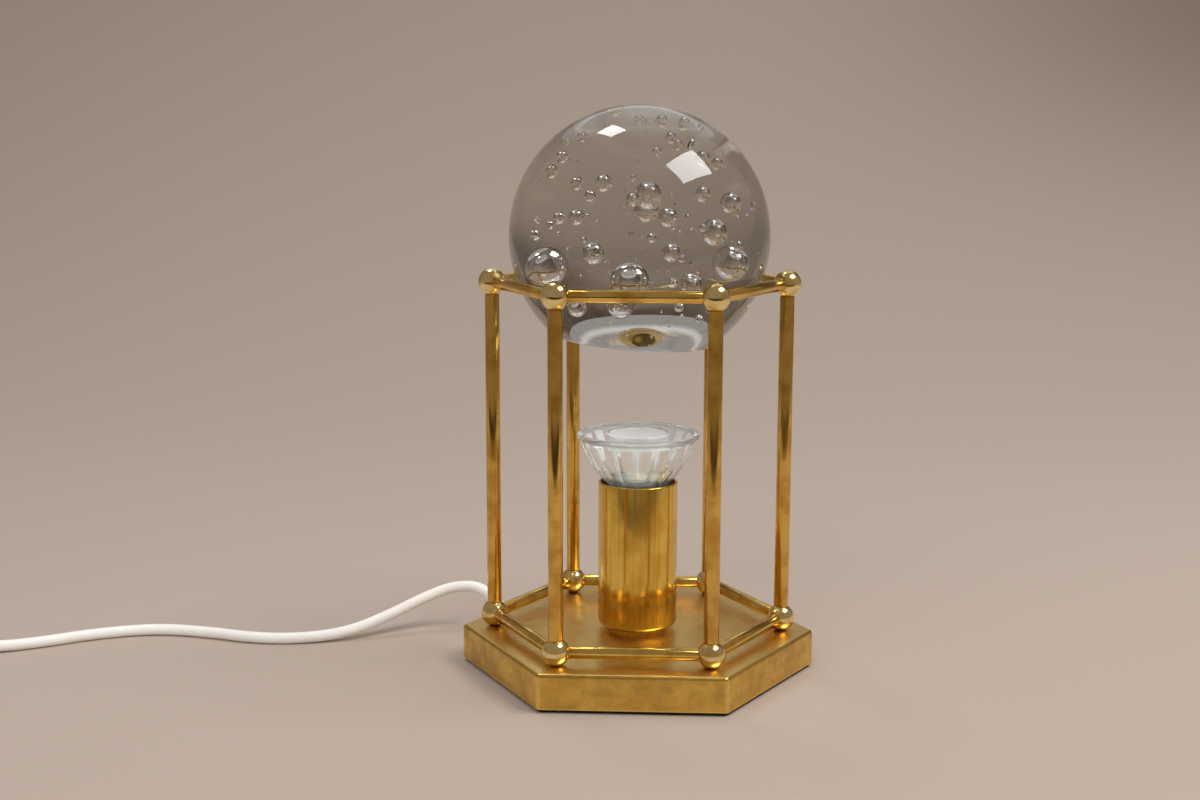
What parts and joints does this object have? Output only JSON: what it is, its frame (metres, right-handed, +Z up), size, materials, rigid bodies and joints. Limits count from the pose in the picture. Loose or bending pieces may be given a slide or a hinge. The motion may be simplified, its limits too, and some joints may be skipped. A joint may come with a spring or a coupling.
{
  "type": "table lamp",
  "caption": "Table lamp: a solid glass globe with bubbles on a hexagonal brass cage, lit from below by a reflector bulb in a brass cup.",
  "frame": {"origin": "on the axis of the lamp, in the plane that the base stands on", "axes": "+Z up; one flat side of the hexagonal base faces -Y, the front, and its corners are at 0, 60, 120 degrees from +X; the cord leaves the back left wall"},
  "size_m": [0.503, 0.1264, 0.2303],
  "materials": {
    "brass_polished": "polished, lightly tarnished",
    "brass_aged": "satin, aged, worn bright along the edges",
    "brass_cup": "polished drawn tube with faint age marks",
    "board_black": "black board",
    "steel_zinc": "zinc plated",
    "brass_plain": "plain turned brass",
    "plastic_black": "satin",
    "plastic_clear": "translucent",
    "ceramic": "unglazed ceramic",
    "lead_sleeve": "woven sleeve",
    "bulb_glass": "clear pressed glass",
    "lens_clear": "clear moulded",
    "module_grey": "dark grey green",
    "plastic_white": "white, smooth",
    "nickel": "nickel plated",
    "globe_glass": "clear solid glass with air bubbles",
    "cord_pvc": "white PVC sheath"
  },
  "bodies": {
    "lamp": {"lower_ball_1": "brass_polished", "lower_ball_2": "brass_polished", "lower_ball_3": "brass_polished", "lower_ball_4": "brass_polished", "lower_ball_5": "brass_polished", "lower_ball_6": "brass_polished", "upper_ball_1": "brass_polished", "upper_ball_2": "brass_polished", "upper_ball_3": "brass_polished", "upper_ball_4": "brass_polished", "upper_ball_5": "brass_polished", "upper_ball_6": "brass_polished", "post_1": "brass_polished", "post_2": "brass_polished", "post_3": "brass_polished", "post_4": "brass_polished", "post_5": "brass_polished", "post_6": "brass_polished", "lower_rail_1": "brass_polished", "lower_rail_2": "brass_polished", "lower_rail_3": "brass_polished", "lower_rail_4": "brass_polished", "lower_rail_5": "brass_polished", "lower_rail_6": "brass_polished", "upper_rail_1": "brass_polished", "upper_rail_2": "brass_polished", "upper_rail_3": "brass_polished", "upper_rail_4": "brass_polished", "upper_rail_5": "brass_polished", "upper_rail_6": "brass_polished", "base_cover": "brass_aged", "lamp_cup": "brass_cup", "bottom_plate": "board_black", "ball_screws": "steel_zinc", "plate_screws": "steel_zinc", "cover_pillars": "brass_plain", "cord_bush": "plastic_black", "terminal_block": "plastic_clear", "cup_nipple": "steel_zinc", "nipple_nut": "steel_zinc", "holder_bracket": "steel_zinc", "lampholder": "ceramic", "holder_screws": "steel_zinc", "holder_contacts": "brass_plain", "lamp_leads": "lead_sleeve", "switch_base": "plastic_white", "switch_cover": "plastic_white", "plug_body": "plastic_white", "plug_pins": "nickel", "cord_coil": "cord_pvc", "power_cord": "cord_pvc", "cord_link": "cord_pvc", "cord_tail": "cord_pvc"},
    "bulb": {"bulb_glass": "bulb_glass", "bulb_lens": "lens_clear", "bulb_led": "module_grey", "bulb_base": "plastic_white", "bulb_pins": "nickel"},
    "globe": {"glass_globe": "globe_glass"},
    "rocker": {"switch_rocker": "plastic_white"}
  },
  "joints": [
    {"name": "globe_lift", "type": "slide", "parent": "lamp", "child": "globe", "axis": [0, 0, 1], "range_m": [0, 0.08]},
    {"name": "bulb_twist", "type": "hinge", "parent": "lamp", "child": "bulb", "pos_m": [0, 0, 0.0745], "axis": [0, 0, 1], "range_deg": [0, 22]},
    {"name": "switch_rock", "type": "hinge", "parent": "lamp", "child": "rocker", "pos_m": [-0.32493, -0.02457, 0.0116], "axis": [0.3955, -0.9184, 0], "range_deg": [-16, 0]}
  ]
}
